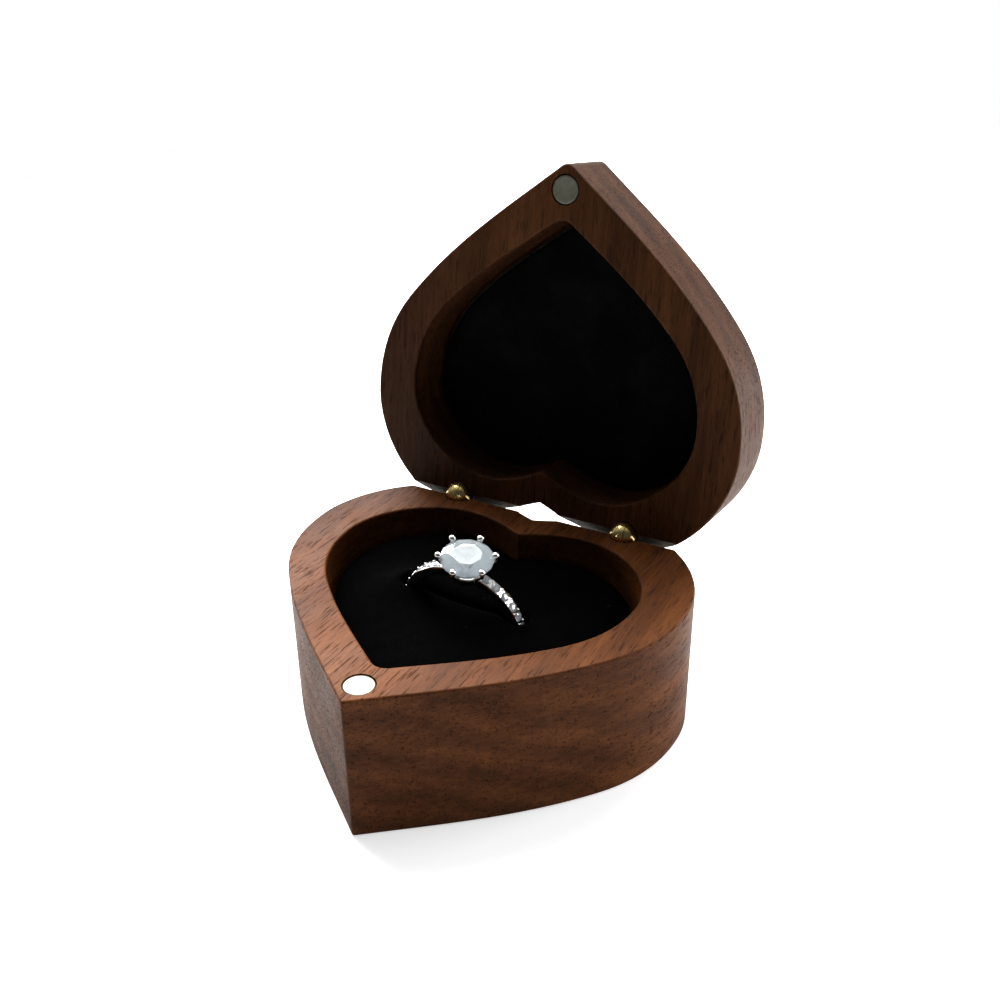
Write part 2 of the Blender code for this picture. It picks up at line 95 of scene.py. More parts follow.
RING_CENTRE = (-0.42, 2.57, 15.8)
RING_LEAN_FORWARD_DEG = 9.9
RING_LEAN_RIGHT_DEG = 9.0
RING_INNER = 8.0
RING_OUTER = 9.5
BAND_HALF_WIDTH = 0.9
HEAD_CUP_RADIUS = 2.0
PRONG_FOOT = (1.75, 9.15)
PRONG_KNEE = (4.02, 11.3)
PRONG_TIP = (3.9, 12.0)
RAIL_Z = 9.8
RAIL_HALF_WIDTH = 0.25
RAIL_HALF_HEIGHT = 0.2
PRONG_COUNT = 6
PRONG_FIRST_DEG = 30
PRONG_SIDES = 16
PRONG_BEAD_RADIUS = 0.5
STONE_RADIUS = 3.75
STONE_GIRDLE_Z = 11.55
SIDE_STONE_RADIUS = 0.66
SIDE_STONE_COUNT = 6
SIDE_STONE_FIRST_DEG = 71.0
SIDE_STONE_PITCH_DEG = 10.8
SIDE_STONE_SINK = 0.06
SEAT_DEPTH = 0.65
CHANNEL_DEPTH = 0.13
CHANNEL_RUNOUT_DEG = 3.0
PAVE_BEAD_RADIUS = 0.16
PAVE_BEAD_ACROSS = 0.52

# ------------------------------------------------------------ camera
CAMERA_AZIMUTH = 28.67
CAMERA_ELEVATION = 28.04
CAMERA_DISTANCE = 168.1
CAMERA_TARGET = (-0.34, 13.29, 29.55)
CAMERA_ROLL = -0.0104
CAMERA_LENS = 42.06


def make_camera():
    azimuth, elevation = math.radians(CAMERA_AZIMUTH), math.radians(CAMERA_ELEVATION)
    back = Vector((math.sin(azimuth) * math.cos(elevation), -math.cos(azimuth) * math.cos(elevation),
                   math.sin(elevation)))
    level = Vector((math.cos(azimuth), math.sin(azimuth), 0))
    upright = back.cross(level)
    right = level * math.cos(CAMERA_ROLL) + upright * math.sin(CAMERA_ROLL)
    up = back.cross(right)
    matrix = Matrix((right, up, back)).transposed().to_4x4()
    matrix.translation = (Vector(CAMERA_TARGET) + back * CAMERA_DISTANCE) * MM
    data = bpy.data.cameras.new("camera")
    data.sensor_width = 36.0
    data.lens = CAMERA_LENS
    data.clip_start = 0.005
    data.clip_end = 20.0
    camera = bpy.data.objects.new("camera", data)
    camera.matrix_world = matrix
    bpy.context.scene.collection.objects.link(camera)
    bpy.context.scene.camera = camera


# ------------------------------------------------------------ studio, in metres
# name, place, size, power and colour of each softbox
SOFTBOXES = [
    ("softbox_key", (-0.30, 0.47, 0.76), (0.90, 0.62), 27.0, (1.0, 0.985, 0.955)),
    ("softbox_left", (-0.55, 0.34, 0.24), (0.40, 0.35), 6.0, (0.96, 0.98, 1.0)),
    ("softbox_right", (0.50, 0.44, 0.24), (0.34, 0.40), 4.6, (0.98, 0.98, 1.0))]
SOFTBOX_AIM = (0, 0.01, 0.03)
ROOM_COLOUR = (0.95, 0.97, 1.0, 1)
ROOM_BRIGHT_SIDE = (-0.34, 0.76, 0.55)
ROOM_FADE = (("From Min", -0.05), ("From Max", 0.90), ("To Min", 0.06), ("To Max", 0.85))
FLOOR_RADIUS = 0.34
FLOOR_CENTRE_Y = 0.17
# The floor's own light, and what the camera sees on top of it
FLOOR_GLOW = 0.20
FLOOR_GLOW_SEEN = 0.36


def area_light(name, place_at, size, power, colour):
    data = bpy.data.lights.new(name, "AREA")
    data.shape = "RECTANGLE"
    data.size, data.size_y = size
    data.energy = power
    data.color = colour
    light = bpy.data.objects.new(name, data)
    light.location = place_at
    direction = Vector(SOFTBOX_AIM) - Vector(place_at)
    light.rotation_euler = direction.to_track_quat("-Z", "Y").to_euler()
    light.visible_camera = False
    bpy.context.scene.collection.objects.link(light)


def make_studio():
    """A pale floor, a large softbox above and behind, weaker ones at the sides, a dim front."""
    for softbox in SOFTBOXES:
        area_light(*softbox)

    world = bpy.data.worlds.new("studio")
    bpy.context.scene.world = world
    world.use_nodes = True
    tree = world.node_tree
    room = tree.nodes["Background"]
    room.inputs["Color"].default_value = ROOM_COLOUR
    where = tree.nodes.new("ShaderNodeTexCoord")
    lean = tree.nodes.new("ShaderNodeVectorMath")
    lean.operation = "DOT_PRODUCT"
    lean.inputs[1].default_value = ROOM_BRIGHT_SIDE
    fade = tree.nodes.new("ShaderNodeMapRange")
    fade.interpolation_type = "SMOOTHSTEP"
    for key, number in ROOM_FADE:
        fade.inputs[key].default_value = number
    tree.links.new(where.outputs["Generated"], lean.inputs[0])
    tree.links.new(lean.outputs["Value"], fade.inputs["Value"])
    tree.links.new(fade.outputs[0], room.inputs["Strength"])
    backdrop = tree.nodes.new("ShaderNodeBackground")
    backdrop.inputs["Color"].default_value = (1, 1, 1, 1)
    backdrop.inputs["Strength"].default_value = 1.0
    path = tree.nodes.new("ShaderNodeLightPath")
    mix = tree.nodes.new("ShaderNodeMixShader")
    tree.links.new(path.outputs["Is Camera Ray"], mix.inputs[0])
    tree.links.new(room.outputs[0], mix.inputs[1])
    tree.links.new(backdrop.outputs[0], mix.inputs[2])
    tree.links.new(mix.outputs[0], tree.nodes["World Output"].inputs["Surface"])
    bpy.context.scene.view_settings.view_transform = "Standard"

    bm = bmesh.new()
    bmesh.ops.create_circle(bm, cap_ends=True, segments=128, radius=FLOOR_RADIUS)
    bmesh.ops.translate(bm, verts=bm.verts, vec=(0, FLOOR_CENTRE_Y, 0))
    floor = new_object("floor", bm)
    paper = Graph("pale_paper")
    grain = paper.noise(paper.coordinates(1000.0), 1.2, 3.0, 0.6)
    paper.wire(paper.ramp(grain, [(0.3, (0.78, 0.78, 0.775)), (0.7, (0.81, 0.81, 0.805))]),
               "Base Color")
    paper.shader.inputs["Roughness"].default_value = 0.9
    paper.shader.inputs["Specular IOR Level"].default_value = 0.1
    paper.shader.inputs["Emission Color"].default_value = (1, 1, 1, 1)
    seen = paper.node("LightPath").outputs["Is Camera Ray"]
    glow = paper.maths("ADD", FLOOR_GLOW, paper.maths("MULTIPLY", seen, FLOOR_GLOW_SEEN))
    paper.wire(glow, "Emission Strength")
    floor.data.materials.append(paper.material)


# ------------------------------------------------------------ node materials
class Graph:
    """A Principled material with short calls for the nodes in front of it."""

    def __init__(self, name):
        self.material = bpy.data.materials.new(name)
        self.material.use_nodes = True
        self.tree = self.material.node_tree
        self.shader = self.tree.nodes["Principled BSDF"]

    def node(self, kind, **settings):
        made = self.tree.nodes.new("ShaderNode" + kind)
        for key, value in settings.items():
            setattr(made, key, value)
        return made

    def feed(self, socket, value):
        if isinstance(value, bpy.types.NodeSocket):
            self.tree.links.new(value, socket)
        else:
            socket.default_value = value

    def wire(self, value, name):
        self.feed(self.shader.inputs[name], value)

    def mapping(self, vector, scale=(1, 1, 1), turn=(0, 0, 0), shift=(0, 0, 0)):
        made = self.node("Mapping")
        self.feed(made.inputs["Vector"], vector)
        made.inputs["Location"].default_value = shift
        made.inputs["Rotation"].default_value = turn
        made.inputs["Scale"].default_value = scale
        return made.outputs[0]

    def coordinates(self, scale, turn=(0, 0, 0), shift=(0, 0, 0)):
        source = self.node("TexCoord").outputs["Object"]
        return self.mapping(source, (scale, scale, scale), turn, shift)

    def noise(self, vector, scale, detail=3.0, roughness=0.5, distortion=0.0, colour=False):
        made = self.node("TexNoise")
        self.feed(made.inputs["Vector"], vector)
        made.inputs["Scale"].default_value = scale
        made.inputs["Detail"].default_value = detail
        made.inputs["Roughness"].default_value = roughness
        made.inputs["Distortion"].default_value = distortion
        return made.outputs["Color" if colour else "Fac"]

    def maths(self, operation, first, second=0.0, clamp=False):
        made = self.node("Math", operation=operation, use_clamp=clamp)
        self.feed(made.inputs[0], first)
        self.feed(made.inputs[1], second)
        return made.outputs[0]

    def blend(self, factor, first, second, how="MIX"):
        made = self.node("Mix", data_type="RGBA", blend_type=how)
        self.feed(made.inputs["Factor"], factor)
        for name, value in (("A", first), ("B", second)):
            socket = [s for s in made.inputs if s.name == name and s.type == "RGBA"][0]
            self.feed(socket, value if isinstance(value, bpy.types.NodeSocket) else (*value, 1.0))
        return [s for s in made.outputs if s.type == "RGBA"][0]

    def ramp(self, factor, stops):
        made = self.node("ValToRGB")
        self.feed(made.inputs[0], factor)
        elements = made.color_ramp.elements
        while len(elements) < len(stops):
            elements.new(0.5)
        for element, (where, value) in zip(elements, stops):
            element.position = where
            element.color = (*value, 1.0) if isinstance(value, tuple) else (value,) * 3 + (1.0,)
        return made.outputs[0]

    def spread(self, value, low, high, to_low, to_high):
        made = self.node("MapRange")
        self.feed(made.inputs["Value"], value)
        names = ("From Min", "From Max", "To Min", "To Max")
        for name, number in zip(names, (low, high, to_low, to_high)):
            made.inputs[name].default_value = number
        return made.outputs[0]

    def bump(self, height, distance, strength=1.0, below=None):
        made = self.node("Bump")
        made.inputs["Distance"].default_value = distance
        made.inputs["Strength"].default_value = strength
        self.feed(made.inputs["Height"], height)
        if below is not None:
            self.feed(made.inputs["Normal"], below)
        return made.outputs[0]


WALNUT_TONES = [(0.0, (0.044, 0.0134, 0.0031)), (0.30, (0.088, 0.0272, 0.0063)),
                (0.58, (0.140, 0.0445, 0.0110)), (0.82, (0.188, 0.0620, 0.0162)),
                (1.0, (0.245, 0.0850, 0.0235))]


def walnut(name, turn_deg, pith, shift, depth):
    """Oiled walnut cut along Y: growth bands, long open pores, darker end grain, worn edges.

    turn_deg turns an opened piece's coordinates back to where it was cut, pith and shift choose
    where in the log it was cut, and depth darkens the red, green and blue of its tones. All
    scales are in mm."""
    g = Graph(name)
    turn = (math.radians(turn_deg), 0, 0)
    pivot = Vector((0, HINGE.y, HINGE.z))
    home = pivot - Matrix.Rotation(turn[0], 3, "X") @ pivot
    plank = g.coordinates(1 / MM, turn, tuple(home + Vector(shift)))

    drift = g.noise(g.mapping(plank, (1, 0.3, 1)), 0.055, 2.0, 0.5, colour=True)
    warped = g.node("MixRGB", blend_type="ADD")
    warped.inputs[0].default_value = 1.0
    g.feed(warped.inputs[1], plank)
    g.feed(warped.inputs[2], g.mapping(drift, (9, 9, 9), shift=(-4.5, -4.5, -4.5)))
    bands = g.node("TexWave", wave_type="RINGS", rings_direction="Y", wave_profile="SIN")
    g.feed(bands.inputs["Vector"], g.mapping(warped.outputs[0], (1, 0.12, 1), shift=pith))
    bands.inputs["Scale"].default_value = 0.062
    bands.inputs["Distortion"].default_value = 1.6
    bands.inputs["Detail"].default_value = 3.0
    bands.inputs["Detail Scale"].default_value = 0.35
    bands.inputs["Detail Roughness"].default_value = 0.6

    broad = g.noise(g.mapping(plank, (0.28, 0.11, 1)), 0.22, 3.0, 0.55, 0.2)
    streak = g.noise(g.mapping(plank, (0.7, 0.05, 1.1)), 1.2, 4.0, 0.62)
    fibre = g.noise(g.mapping(plank, (1, 0.045, 1)), 6.5, 3.0, 0.65)
    tone = g.maths("ADD", g.maths("MULTIPLY", bands.outputs["Fac"], 0.10),
                   g.maths("MULTIPLY", broad, 0.42))
    tone = g.maths("ADD", tone, g.maths("MULTIPLY", streak, 0.36))
    tone = g.maths("ADD", tone, g.maths("MULTIPLY", fibre, 0.27))
    colour = g.ramp(g.spread(tone, 0.37, 0.79, 0.0, 1.0), [
        (where, tuple(a * b for a, b in zip(shade, depth))) for where, shade in WALNUT_TONES])

    pore_field = g.noise(g.mapping(plank, (1, 0.085, 1)), 3.3, 2.0, 0.55)
    pores = g.ramp(pore_field, [(0.575, 0.0), (0.645, 1.0)])
    fleck_field = g.noise(g.mapping(plank, (1, 0.16, 1), shift=(31, 7, 5)), 4.6, 2.0, 0.5)
    flecks = g.ramp(fleck_field, [(0.60, 0.0), (0.70, 1.0)])
    holes = g.maths("ADD", pores, g.maths("MULTIPLY", flecks, 0.5), True)
    colour = g.blend(g.maths("MULTIPLY", holes, 0.58), colour, (0.016, 0.0055, 0.0022))

    facing = g.node("TexCoord").outputs["Normal"]
    facing = g.mapping(facing, turn=turn)
    split = g.node("SeparateXYZ")
    g.feed(split.inputs[0], facing)
    end_grain = g.maths("POWER", g.maths("ABSOLUTE", split.outputs["Y"]), 2.0, True)
    colour = g.blend(g.maths("MULTIPLY", end_grain, 0.80), colour, (0.52, 0.56, 0.80), "MULTIPLY")

    bevel = g.node("Bevel", samples=4)
    bevel.inputs["Radius"].default_value = 0.35 * MM
    plain = g.node("NewGeometry")
    meet = g.node("VectorMath", operation="DOT_PRODUCT")
    g.feed(meet.inputs[0], bevel.outputs[0])
    g.feed(meet.inputs[1], plain.outputs["Normal"])
    edge = g.spread(meet.outputs["Value"], 0.995, 0.86, 0.0, 1.0)
    rubbed = g.noise(plank, 0.35, 3.0, 0.6)
    worn = g.maths("MULTIPLY", edge, g.spread(rubbed, 0.35, 0.7, 0.15, 0.75), True)
    colour = g.blend(g.maths("MULTIPLY", worn, 0.22), colour, (0.150, 0.066, 0.028))
    g.wire(colour, "Base Color")

    sheen = g.noise(plank, 0.12, 2.0, 0.5)
    rough = g.spread(sheen, 0.3, 0.7, 0.44, 0.56)
    rough = g.maths("ADD", rough, g.maths("MULTIPLY", holes, 0.25))
    rough = g.maths("SUBTRACT", rough, g.maths("MULTIPLY", worn, 0.08), True)
    g.wire(rough, "Roughness")
    g.shader.inputs["Specular IOR Level"].default_value = 0.065

    low = g.bump(fibre, 0.035 * MM, 0.5)
    low = g.bump(g.maths("SUBTRACT", 1.0, holes), 0.07 * MM, 0.8, low)
    g.wire(low, "Normal")
    return g.material


def metal(name, colour, dark, roughness, smear, scratch):
    """Polished metal with smears in its gloss, faint tarnish and fine wear."""
    g = Graph(name)
    place_at = g.coordinates(1 / MM)
    tarnish = g.noise(place_at, 0.9, 4.0, 0.6)
    fine = g.noise(place_at, 7.0, 3.0, 0.6)
    shade = g.spread(g.maths("ADD", g.maths("MULTIPLY", tarnish, 0.7), g.maths("MULTIPLY", fine, 0.3)),
                     0.36, 0.64, 0.0, 1.0)
    g.wire(g.blend(shade, dark, colour), "Base Color")
    smears = g.noise(place_at, 1.7, 4.0, 0.6)
    g.wire(g.spread(smears, 0.3, 0.7, roughness, roughness + smear), "Roughness")
    g.shader.inputs["Metallic"].default_value = 1.0
    lines = g.noise(g.mapping(place_at, (14, 1.2, 1.2), (0.4, 0.2, 0.7)), 2.0, 2.0, 0.6)
    g.wire(g.bump(lines, 0.01 * MM, scratch), "Normal")
    return g.material


def velvet(name, sheen, tones):
    """Black short-pile velvet: brushed patches in the nap, a soft sheen, a few specks of lint."""
    g = Graph(name)
    place_at = g.coordinates(1 / MM)
    brushed = g.noise(place_at, 0.16, 3.0, 0.55, 0.6)
    pile = g.noise(place_at, 6.0, 2.0, 0.7)
    shade = g.maths("ADD", g.maths("MULTIPLY", brushed, 0.65), g.maths("MULTIPLY", pile, 0.35))
    colour = g.ramp(shade, [(where, (tone, tone, tone * 1.02))
                            for where, tone in zip((0.34, 0.52, 0.68), tones)])
    lint = g.node("TexVoronoi", feature="F1")
    g.feed(lint.inputs["Vector"], g.mapping(place_at, (1, 0.55, 1), (0.2, 0.1, 0.6)))
    lint.inputs["Scale"].default_value = 0.30
    lint.inputs["Randomness"].default_value = 1.0
    speck = g.spread(lint.outputs["Distance"], 0.028, 0.045, 1.0, 0.0)
    colour = g.blend(g.maths("MULTIPLY", speck, 0.5, True), colour, (0.016, 0.016, 0.016))
    g.wire(colour, "Base Color")
    g.wire(g.spread(brushed, 0.3, 0.7, 0.80, 0.97), "Roughness")
    g.shader.inputs["Specular IOR Level"].default_value = 0.005
    g.shader.inputs["Sheen Weight"].default_value = sheen
    g.shader.inputs["Sheen Roughness"].default_value = 0.32
    g.shader.inputs["Sheen Tint"].default_value = (0.55, 0.56, 0.60, 1.0)
    low = g.bump(brushed, 0.35 * MM, 0.5)
    g.wire(g.bump(pile, 0.06 * MM, 0.8, low), "Normal")
    return g.material


def card(name):
    """Black card: flat fibres and a dull surface."""
    g = Graph(name)
    place_at = g.coordinates(1 / MM)
    fibres = g.noise(place_at, 2.4, 5.0, 0.7)
    g.wire(g.ramp(fibres, [(0.3, (0.010, 0.010, 0.010)), (0.7, (0.028, 0.027, 0.026))]), "Base Color")
    g.wire(g.spread(fibres, 0.3, 0.7, 0.75, 0.9), "Roughness")
    g.wire(g.bump(fibres, 0.03 * MM, 0.6), "Normal")
    return g.material


def gem(name, tint, ior, clear, gloss):
    """A cut stone with a cool cast: mostly clear, with a little light scattered in its body.

    gloss scales how much its faces mirror, where 1 is a bare polished face."""
    g = Graph(name)
    haze = g.noise(g.coordinates(1 / MM), 0.9, 3.0, 0.6)
    pale = tuple(c * 0.88 for c in tint)
    g.wire(g.blend(g.spread(haze, 0.35, 0.65, 0.0, 1.0), tint, pale), "Base Color")
    g.shader.inputs["Transmission Weight"].default_value = clear
    g.shader.inputs["Roughness"].default_value = 0.02
    g.shader.inputs["IOR"].default_value = ior
    g.shader.inputs["Specular Tint"].default_value = (gloss, gloss, gloss, 1.0)
    g.shader.inputs["Specular IOR Level"].default_value = 0.5 * gloss
    return g.material


# ------------------------------------------------------------ mesh helpers, lengths in mm
def link_new(name, mesh):
    obj = bpy.data.objects.new(name, mesh)
    bpy.context.scene.collection.objects.link(obj)
    return obj


def new_object(name, bm):
    mesh = bpy.data.meshes.new(name)
    bmesh.ops.recalc_face_normals(bm, faces=bm.faces)
    bm.to_mesh(mesh)
    bm.free()
    return link_new(name, mesh)


def applied(obj):
    """The object with its modifiers applied, as one welded mesh in place."""
    bpy.context.view_layer.update()
    graph = bpy.context.evaluated_depsgraph_get()
    mesh = bpy.data.meshes.new_from_object(obj.evaluated_get(graph))
    name, matrix = obj.name, obj.matrix_world.copy()
    bpy.data.objects.remove(obj, do_unlink=True)
    bm = bmesh.new()
    bm.from_mesh(mesh)
    bmesh.ops.remove_doubles(bm, verts=bm.verts, dist=1e-6)
    bm.transform(matrix)
    bmesh.ops.recalc_face_normals(bm, faces=bm.faces)
    bm.to_mesh(mesh)
    bm.free()
    return link_new(name, mesh)


def boolean(target, cutter, operation="DIFFERENCE"):
    modifier = target.modifiers.new("boolean", "BOOLEAN")
    modifier.operation = operation
    modifier.solver = "EXACT"
    modifier.object = cutter
    result = applied(target)
    bpy.data.objects.remove(cutter, do_unlink=True)
    return result


def place(obj, matrix):
    scaled = matrix.copy()
    scaled.translation = matrix.translation * MM
    obj.data.transform(scaled)
    return obj


def joined(name, objects):
    """Several meshes in one, without welding them."""
    bm = bmesh.new()
    for obj in objects:
        bm.from_mesh(obj.data)
        bpy.data.objects.remove(obj, do_unlink=True)
    mesh = bpy.data.meshes.new(name)
    bm.to_mesh(mesh)
    bm.free()
    return link_new(name, mesh)


def cylinder(name, radius, low, high, sides=64):
    bm = bmesh.new()
    bmesh.ops.create_cone(bm, cap_ends=True, segments=sides, radius1=radius * MM, radius2=radius * MM,
                          depth=(high - low) * MM)
    bmesh.ops.translate(bm, verts=bm.verts, vec=(0, 0, (high + low) / 2 * MM))
    return new_object(name, bm)


def sphere(name, radius, around=48, up=24):
    bm = bmesh.new()
    bmesh.ops.create_uvsphere(bm, u_segments=around, v_segments=up, radius=radius * MM)
    return new_object(name, bm)


def box(name, low, high):
    bm = bmesh.new()
    bmesh.ops.create_cube(bm, size=1.0)
    bmesh.ops.scale(bm, verts=bm.verts, vec=[(b - a) * MM for a, b in zip(low, high)])
    bmesh.ops.translate(bm, verts=bm.verts, vec=[(b + a) / 2 * MM for a, b in zip(low, high)])
    return new_object(name, bm)


def turned(name, profile, steps=48):
    """A closed outline of (radius, height) points turned about Z."""
    bm = bmesh.new()
    rings = []
    for index in range(steps):
        angle = 2 * math.pi * index / steps
        rings.append([bm.verts.new((r * MM * math.cos(angle), r * MM * math.sin(angle), z * MM))
                      for r, z in profile])
    for index in range(steps):
        here, there = rings[index], rings[(index + 1) % steps]
        for k in range(len(profile)):
            after = (k + 1) % len(profile)
            bm.faces.new((here[k], here[after], there[after], there[k]))
    bmesh.ops.remove_doubles(bm, verts=bm.verts, dist=1e-7)
    return new_object(name, bm)


def soften(obj, width, segments=2, angle_deg=40.0):
    modifier = obj.modifiers.new("rounding", "BEVEL")
    modifier.width = width * MM
    modifier.segments = segments
    modifier.limit_method = "ANGLE"
    modifier.angle_limit = math.radians(angle_deg)
    modifier.harden_normals = False
    return applied(obj)


def make_piece(obj, name, finish, body, stands_for=(), smooth_deg=35.0, flat=False):
    """Names a finished piece, gives it its material and lets it ride on its CAD body."""
    obj.name = name
    obj.data.name = name
    obj.data.materials.clear()
    obj.data.materials.append(finish)
    if flat:
        obj.data.shade_flat()
    else:
        obj.data.shade_smooth()
        obj.data.set_sharp_from_angle(angle=math.radians(smooth_deg))
        weighted = obj.modifiers.new("even shading", "WEIGHTED_NORMAL")
        weighted.keep_sharp = True
    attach(obj, body)
    if stands_for:
        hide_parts(*stands_for)
    return obj


# ------------------------------------------------------------ heart shapes
def heart_outline(nodes, scale=1.0, steps=CURVE_STEPS):
    """Points round a heart, anticlockwise, from Bezier nodes given for its right half."""
    half = [(x * scale, CAVITY_CENTRE_Y + (y - CAVITY_CENTRE_Y) * scale, a) for x, y, a in nodes]
    loop = half + [(-x, y, -a) for x, y, a in reversed(half[1:-1])]
    points = []
    for index, (x, y, angle) in enumerate(loop):
        next_x, next_y, next_angle = loop[(index + 1) % len(loop)]
        start, end = Vector((x, y)), Vector((next_x, next_y))
        reach = (end - start).length * HANDLE_SHARE
        leave = Vector((math.cos(math.radians(angle)), math.sin(math.radians(angle))))
        arrive = Vector((math.cos(math.radians(next_angle)), math.sin(math.radians(next_angle))))
        if next_x == 0.0:
            arrive.y = -arrive.y
        first, second = start + leave * reach, end - arrive * reach
        for step in range(steps):
            t = step / steps
            u = 1 - t
            points.append(start * u ** 3 + first * 3 * u * u * t
                          + second * 3 * u * t * t + end * t ** 3)
    return points


def heart_solid(name, nodes, low, high, scale=1.0, steps=CURVE_STEPS):
    outline = heart_outline(nodes, scale, steps)
    bm = bmesh.new()
    lower = [bm.verts.new((p.x * MM, p.y * MM, low * MM)) for p in outline]
    upper = [bm.verts.new((p.x * MM, p.y * MM, high * MM)) for p in outline]
    bm.faces.new(lower)
    bm.faces.new(upper)
    for index in range(len(outline)):
        after = (index + 1) % len(outline)
        bm.faces.new((lower[index], lower[after], upper[after], upper[index]))
    return new_object(name, bm)


def chamfer_cutter(name, setback=0.0):
    lead = CHAMFER_LEAD + setback / math.sin(math.radians(CHAMFER_DEG))
    cutter = box(name, (-CUTTER_REACH, 0, 0), (CUTTER_REACH, CUTTER_REACH, CUTTER_REACH))
    cutter = place(cutter, Matrix.Rotation(math.radians(-CHAMFER_DEG), 4, "X"))
    return place(cutter, Matrix.Translation((0, HINGE.y - lead, BASE_HEIGHT)))


def to_open_lid(obj):
    """Mirrors a base-side shape across the parting plane and opens it about the hinge."""
    pivot = HINGE * MM
    obj.data.transform(Matrix.Translation((0, 0, -pivot.z)))
    obj.data.transform(Matrix.Diagonal((1.0, 1.0, -1.0, 1.0)))
    obj.data.transform(Matrix.Translation((0, -pivot.y, 0)))
    obj.data.transform(Matrix.Rotation(-math.radians(LID_OPEN_DEG), 4, "X"))
    obj.data.transform(Matrix.Translation(pivot))
    obj.data.flip_normals()
    return obj


def hinge_point(side):
    return Vector((side * HINGE_X, HINGE.y, HINGE.z))


# ------------------------------------------------------------ wood
def wood_block(name, outline, height, cavity_floor, barrel_depth):
    """One half of the box, made in the base's place with its mating face up."""
    bottom = BASE_HEIGHT - height
    block = heart_solid(name, outline, bottom, BASE_HEIGHT)
    block = boolean(block, heart_solid("cavity", CAVITY_HEART, cavity_floor, BASE_HEIGHT + OVERSHOOT))
    pocket_floor = BASE_HEIGHT - MAGNET_THICKNESS - POCKET_BELOW_MAGNET
    pocket = cylinder("pocket", MAGNET_RADIUS + MAGNET_CLEARANCE, pocket_floor, BASE_HEIGHT + 1)
    block = boolean(block, place(pocket, Matrix.Translation((0, MAGNET_Y, 0))))
    for side in (-1, 1):
        bore_floor = -barrel_depth - BORE_BELOW_BARREL
        hole = cylinder("hole", BARREL_RADIUS + BARREL_CLEARANCE, bore_floor, 2 * BARREL_RADIUS)
        block = boolean(block, place(hole, Matrix.Translation(hinge_point(side))))
    block = boolean(block, chamfer_cutter("back chamfer"))
    return ease_edges(block, bottom)


def ease_edges(block, bottom):
    """Rounds the underside's outline, both outlines of the mating face and the tip."""
    bm = bmesh.new()
    bm.from_mesh(block.data)
    eased = []
    for edge in bm.edges:
        ends = [v.co / MM for v in edge.verts]
        middle = (ends[0] + ends[1]) / 2
        flat = any(all(abs(p.z - z) < 0.01 for p in ends) for z in (bottom, BASE_HEIGHT))
        tip = all(abs(p.x) < 0.001 and p.y < OUTER_HEART[0][1] + 0.01 for p in ends)
        drilled = (middle - Vector((0, MAGNET_Y, BASE_HEIGHT))).length < MAGNET_RADIUS + 0.5
        for side in (-1, 1):
            drilled = drilled or (middle - hinge_point(side)).length < BARREL_RADIUS + 0.8
        sharp = len(edge.link_faces) == 2 and edge.calc_face_angle() > 1.0
        if sharp and (flat or tip) and not drilled:
            eased.append(edge)
    bmesh.ops.bevel(bm, geom=eased, offset=EDGE_ROUND * MM, segments=3, profile=0.5, affect="EDGES")
    bm.to_mesh(block.data)
    bm.free()
    return block


# ------------------------------------------------------------ hinges and magnets
def barrel_blank(depth):
    blank = cylinder("barrel", BARREL_RADIUS, -depth, 0)
    cutter = chamfer_cutter("barrel chamfer", BARREL_CHAMFER_SETBACK)
    blank = boolean(blank, place(cutter, Matrix.Translation(-hinge_point(0))))
    return boolean(blank, sphere("ball", BARREL_RADIUS), "UNION")


def fork_barrel(side):
    body = barrel_blank(BARREL_BASE_DEPTH)
    reach = 2 * BARREL_RADIUS
    slot = box("slot", (-FORK_HALF_GAP, -reach, -SHOULDER_DROP), (FORK_HALF_GAP, reach, reach))
    body = boolean(body, slot)
    return place(soften(body, BARREL_ROUND, 2, 50.0), Matrix.Translation(hinge_point(side)))


def tongue_barrel(side):
    body = barrel_blank(BARREL_LID_DEPTH)
    reach = 2 * BARREL_RADIUS
    for edge in (-1, 1):
        low, high = sorted((edge * TONGUE_HALF, edge * reach))
        body = boolean(body, box("relief", (low, -reach, -SHOULDER_DROP), (high, reach, reach)))
    body = soften(body, BARREL_ROUND, 2, 50.0)
    return to_open_lid(place(body, Matrix.Translation(hinge_point(side))))


def hinge_pin(side):
    """The pin, with a rounded riveted end on each side of the fork."""
    reach = PIN_HALF_LENGTH
    r = PIN_RADIUS
    profile = [(0.0, -reach), (r * 0.6, -reach + 0.02), (r * 0.9, -reach + 0.1), (r, -reach + 0.25),
               (r, reach - 0.25), (r * 0.9, reach - 0.1), (r * 0.6, reach - 0.02), (0.0, reach)]
    pin = turned("pin", profile, 32)
    pin = place(pin, Matrix.Rotation(math.radians(90), 4, "Y"))
    return place(pin, Matrix.Translation(hinge_point(side)))


def magnet():
    """A nickel-plated disc with a rounded rim and a slightly dished face."""
    top = BASE_HEIGHT - MAGNET_RECESS
    low = top - MAGNET_THICKNESS
    r = MAGNET_RADIUS
    profile = [(0.0, low), (r - 0.15, low), (r, low + 0.15), (r, top - 0.22), (r - 0.03, top - 0.1),
               (r - 0.1, top - 0.02), (r - 0.2, top), (r - 0.45, top - 0.012), (1.0, top - 0.035),
               (0.0, top - 0.045)]
    return place(turned("magnet", profile, 72), Matrix.Translation((0, MAGNET_Y, 0)))


# ------------------------------------------------------------ ring
def ring_matrix():
    lean = Matrix.Rotation(math.radians(RING_LEAN_FORWARD_DEG), 4, "X")
    tilt = Matrix.Rotation(math.radians(RING_LEAN_RIGHT_DEG), 4, "Y")
    return Matrix.Translation(RING_CENTRE) @ lean @ tilt


def side_stone_angles():
    return [SIDE_STONE_FIRST_DEG - SIDE_STONE_PITCH_DEG * k for k in range(SIDE_STONE_COUNT)]


